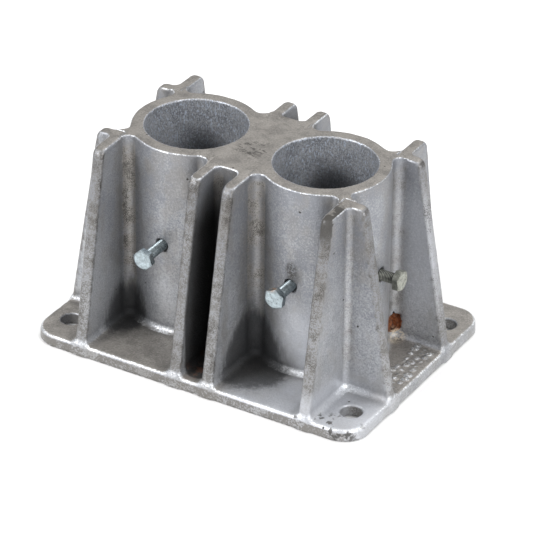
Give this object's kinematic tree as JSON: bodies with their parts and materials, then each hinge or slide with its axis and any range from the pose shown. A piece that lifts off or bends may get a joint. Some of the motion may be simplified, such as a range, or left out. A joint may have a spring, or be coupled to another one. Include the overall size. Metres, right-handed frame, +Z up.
{
  "type": "stanchion base",
  "caption": "Ribbed cast deck base with two upright round sockets side by side, each clamped by hex-head set screws, on a rounded rectangular plate with corner bolt holes.",
  "frame": {"origin": "underside of the plate, midway between the two sockets", "axes": "+X along the plate from one socket to the other, +Y to the back, away from the two front clamp screws, +Z up along the sockets"},
  "size_m": [0.33, 0.235, 0.192],
  "materials": {
    "galvanised_casting": "galvanised, grainy from the sand mould, greyer on the flat tops",
    "bright_screw": "bright bluish zinc plate",
    "dull_screw": "dull weathered zinc plate"
  },
  "bodies": {
    "base": {"socket_casting": "galvanised_casting"},
    "front_left": {"front_left_screw": "bright_screw"},
    "front_right": {"front_right_screw": "bright_screw"},
    "end_left": {"end_left_screw": "dull_screw"},
    "end_right": {"end_right_screw": "dull_screw"}
  },
  "joints": [
    {"name": "front_left_travel", "type": "slide", "parent": "base", "child": "front_left", "axis": [0, 1, 0], "range_m": [-0.002, 0.025]},
    {"name": "front_right_travel", "type": "slide", "parent": "base", "child": "front_right", "axis": [0, 1, 0], "range_m": [-0.006, 0.021]},
    {"name": "end_left_travel", "type": "slide", "parent": "base", "child": "end_left", "axis": [1, 0, 0], "range_m": [-0.0075, 0.0145]},
    {"name": "end_right_travel", "type": "slide", "parent": "base", "child": "end_right", "axis": [-1, 0, 0], "range_m": [-0.0075, 0.0145]}
  ]
}
